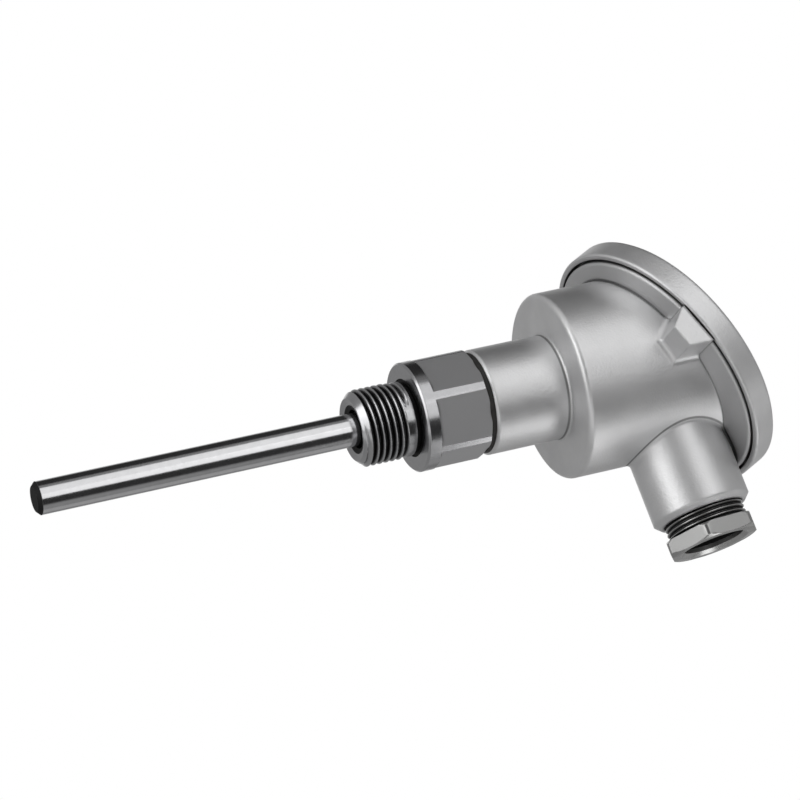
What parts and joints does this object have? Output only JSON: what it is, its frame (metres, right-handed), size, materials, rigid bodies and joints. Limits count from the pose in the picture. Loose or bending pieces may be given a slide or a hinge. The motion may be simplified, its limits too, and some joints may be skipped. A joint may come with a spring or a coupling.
{
  "type": "resistance thermometer probe with connection head",
  "caption": "Screw-in temperature probe: a closed steel tube in a threaded hexagon fitting under a cast head with a slanted lid, a side cable gland and a spring-loaded measuring insert.",
  "frame": {"origin": "centre of the fitting's sealing face, the underside of its round collar", "axes": "+Z along the probe axis from the tip towards the head; +X towards the cable entry, on the side where the slanted lid is higher; the lid lugs lie on the Y axis"},
  "size_m": [0.0893, 0.075, 0.2007],
  "materials": {
    "cast_aluminium": "satin cast",
    "fitting_steel": "turned bright",
    "tube_steel": "polished",
    "nickel_brass": "nickel plated",
    "screw_steel": "bright",
    "spring_steel": "drawn",
    "seal_rubber": "matt black",
    "fibre_seal": "matt dark fibre",
    "ceramic": "glazed ceramic",
    "mineral": "pressed oxide powder",
    "terminal_brass": "bright brass",
    "lead_copper": "bare copper"
  },
  "bodies": {
    "probe": {"protection_tube": "tube_steel", "process_fitting": "fitting_steel", "neck_seal": "fibre_seal", "head_body": "cast_aluminium", "insert_screw_near": "screw_steel", "insert_screw_far": "screw_steel", "insert_spring_near": "spring_steel", "insert_spring_far": "spring_steel", "gland_washer": "nickel_brass", "gland_seal": "seal_rubber"},
    "lid": {"lid": "cast_aluminium", "lid_gasket": "seal_rubber"},
    "lid_screw_near": {"lid_screw_near": "screw_steel"},
    "lid_screw_far": {"lid_screw_far": "screw_steel"},
    "insert": {"insert_plate": "screw_steel", "insert_bush": "screw_steel", "insert_sheath": "tube_steel", "mineral_filling": "mineral", "sensing_element": "ceramic", "terminal_block": "ceramic", "block_screws": "screw_steel", "terminal_screws": "terminal_brass", "terminal_1": "terminal_brass", "terminal_2": "terminal_brass", "terminal_3": "terminal_brass", "terminal_4": "terminal_brass", "lead_wire_1": "lead_copper", "lead_wire_2": "lead_copper", "lead_wire_3": "lead_copper", "lead_wire_4": "lead_copper"},
    "gland_follower": {"gland_pressure_ring": "nickel_brass"},
    "gland_screw": {"gland_screw": "nickel_brass"}
  },
  "joints": [
    {"name": "lid_lift", "type": "slide", "parent": "probe", "child": "lid", "axis": [-0.4147, 0, 0.91], "range_m": [0, 0.03]},
    {"name": "lid_screw_near_turn", "type": "hinge", "parent": "lid", "child": "lid_screw_near", "pos_m": [-0.00078, -0.031, 0.07885], "axis": [-0.4147, 0, 0.91], "continuous": true},
    {"name": "lid_screw_far_turn", "type": "hinge", "parent": "lid", "child": "lid_screw_far", "pos_m": [-0.00078, 0.031, 0.07885], "axis": [-0.4147, 0, 0.91], "continuous": true},
    {"name": "insert_float", "type": "slide", "parent": "probe", "child": "insert", "axis": [0, 0, 1], "range_m": [0, 0.006], "stiffness_N_per_m": 2400, "springref_m": -0.003, "deforming": ["insert_spring_near", "insert_spring_far"]},
    {"name": "gland_press", "type": "slide", "parent": "probe", "child": "gland_follower", "axis": [-0.9986, 0, -0.0523], "range_m": [-0.0029, 0.0022], "deforming": ["gland_seal"]},
    {"name": "gland_screw_turn", "type": "hinge", "parent": "gland_follower", "child": "gland_screw", "pos_m": [0.04594, 0, 0.07341], "axis": [-0.9986, 0, -0.0523], "range_deg": [-720, 540]}
  ],
  "couplings": [
    {"joint": "gland_press", "follows": "gland_screw_turn", "m_per_rad": 0.00022441}
  ]
}
